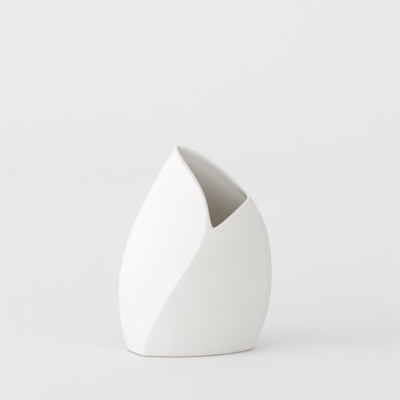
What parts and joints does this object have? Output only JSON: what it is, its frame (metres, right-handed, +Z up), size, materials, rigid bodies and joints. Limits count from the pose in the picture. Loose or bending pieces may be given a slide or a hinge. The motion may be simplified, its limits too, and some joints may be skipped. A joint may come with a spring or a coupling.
{
  "type": "flower vase",
  "caption": "Flattened bud-shaped cast vase with a soft diagonal fold, a slanted pointed mouth at the upper right and a flat standing foot.",
  "frame": {"origin": "on the resting plane, under the middle of the vase's overall box", "axes": "+Z up, +X along the wide side towards the mouth, -Y towards the front, where the fold is"},
  "size_m": [0.1499, 0.0876, 0.2015],
  "materials": {
    "porcelain": "matte",
    "glaze": "satin"
  },
  "bodies": {
    "root": {"cast_body": "porcelain", "inner_glaze": "glaze"}
  },
  "joints": []
}
